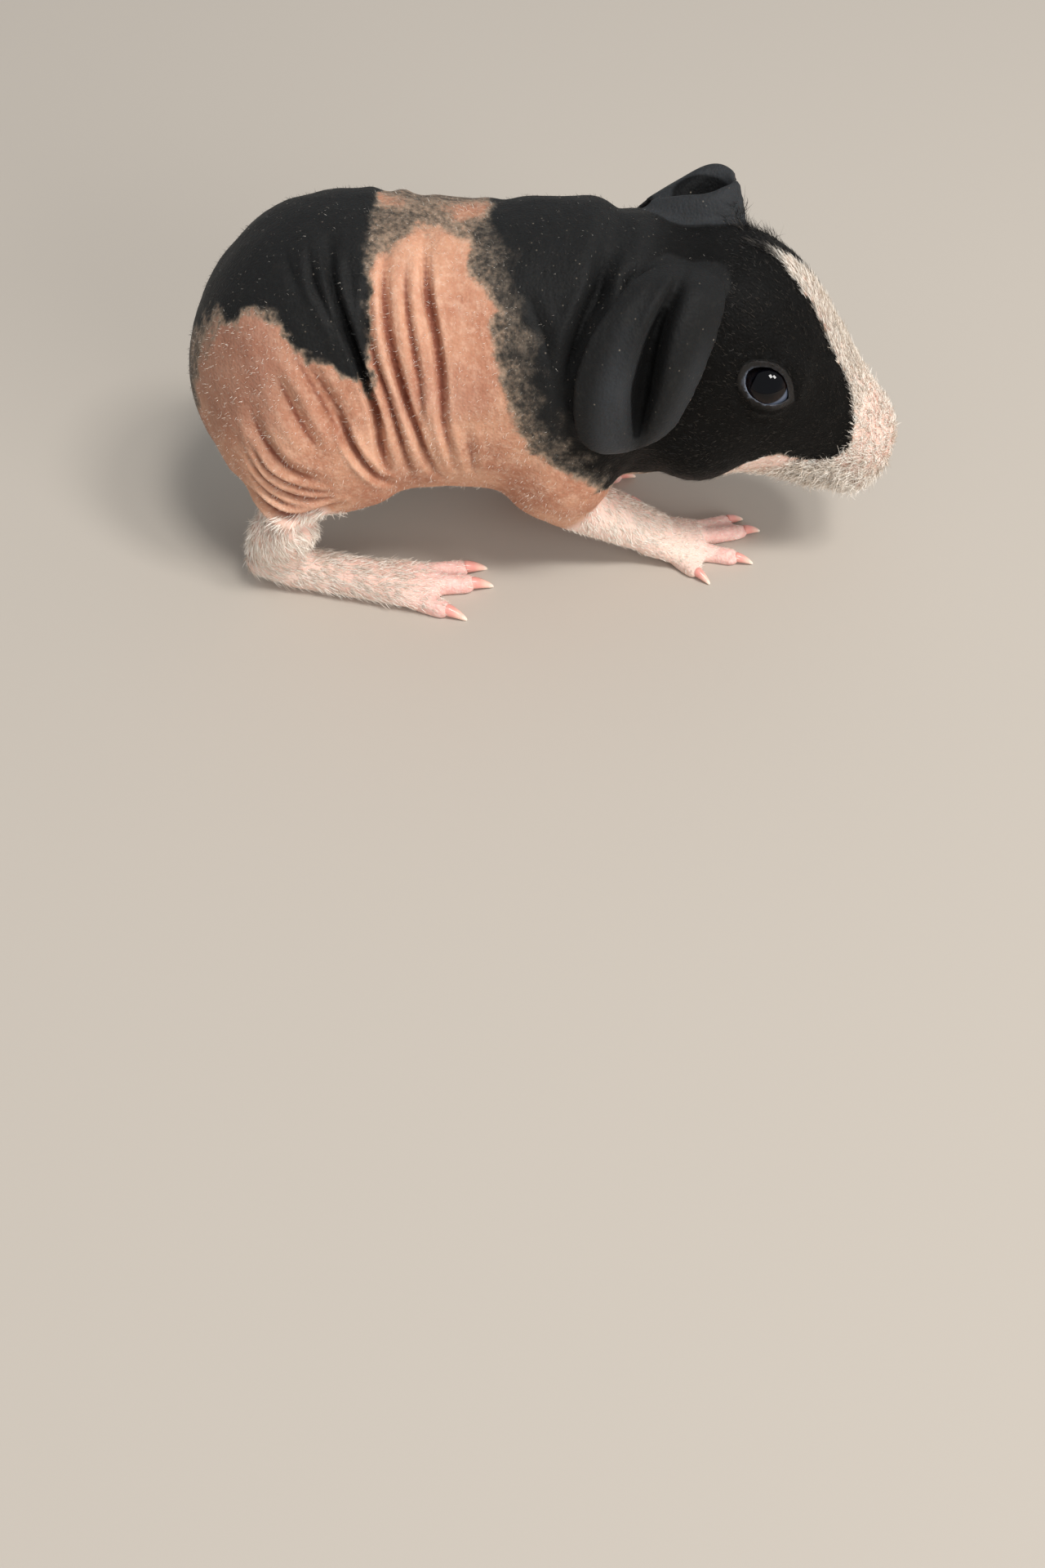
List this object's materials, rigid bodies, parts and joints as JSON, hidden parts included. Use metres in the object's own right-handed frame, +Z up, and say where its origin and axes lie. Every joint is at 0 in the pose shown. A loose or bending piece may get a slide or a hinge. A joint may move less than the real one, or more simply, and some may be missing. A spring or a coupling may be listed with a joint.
{
  "type": "skinny pig pup model",
  "caption": "Life-size still model of a very young hairless guinea pig, standing with its head lowered, one foreleg ahead, big ears hanging and skin in folds.",
  "frame": {"origin": "bottom centre of the bounding box, on the floor that the soles stand on", "axes": "+X to the nose, +Y to the animal's left, +Z up"},
  "size_m": [0.1174, 0.0534, 0.0629],
  "materials": {
    "skin_peach": "bare skin, satin",
    "skin_dark": "bare dark skin, satin",
    "skin_pale": "pale skin with short white hair",
    "ear_skin": "thin dark skin, satin",
    "eye": "wet and glossy",
    "claw": "horn, satin"
  },
  "bodies": {
    "root": {"torso": "skin_peach", "neck": "skin_dark", "head": "skin_dark", "thigh_right": "skin_peach", "shank_right": "skin_pale", "hind_foot_right": "skin_pale", "upper_arm_right": "skin_peach", "forearm_right": "skin_peach", "forefoot_right": "skin_pale", "ear_right": "ear_skin", "eye_right": "eye", "claw_hind_outer_right": "claw", "claw_hind_middle_right": "claw", "claw_hind_inner_right": "claw", "claw_fore_first_right": "claw", "claw_fore_second_right": "claw", "claw_fore_third_right": "claw", "claw_fore_fourth_right": "claw", "thigh_left": "skin_dark", "shank_left": "skin_pale", "hind_foot_left": "skin_pale", "upper_arm_left": "skin_peach", "forearm_left": "skin_peach", "forefoot_left": "skin_pale", "ear_left": "ear_skin", "eye_left": "eye", "claw_hind_outer_left": "claw", "claw_hind_middle_left": "claw", "claw_hind_inner_left": "claw", "claw_fore_first_left": "claw", "claw_fore_second_left": "claw", "claw_fore_third_left": "claw", "claw_fore_fourth_left": "claw"}
  },
  "joints": []
}
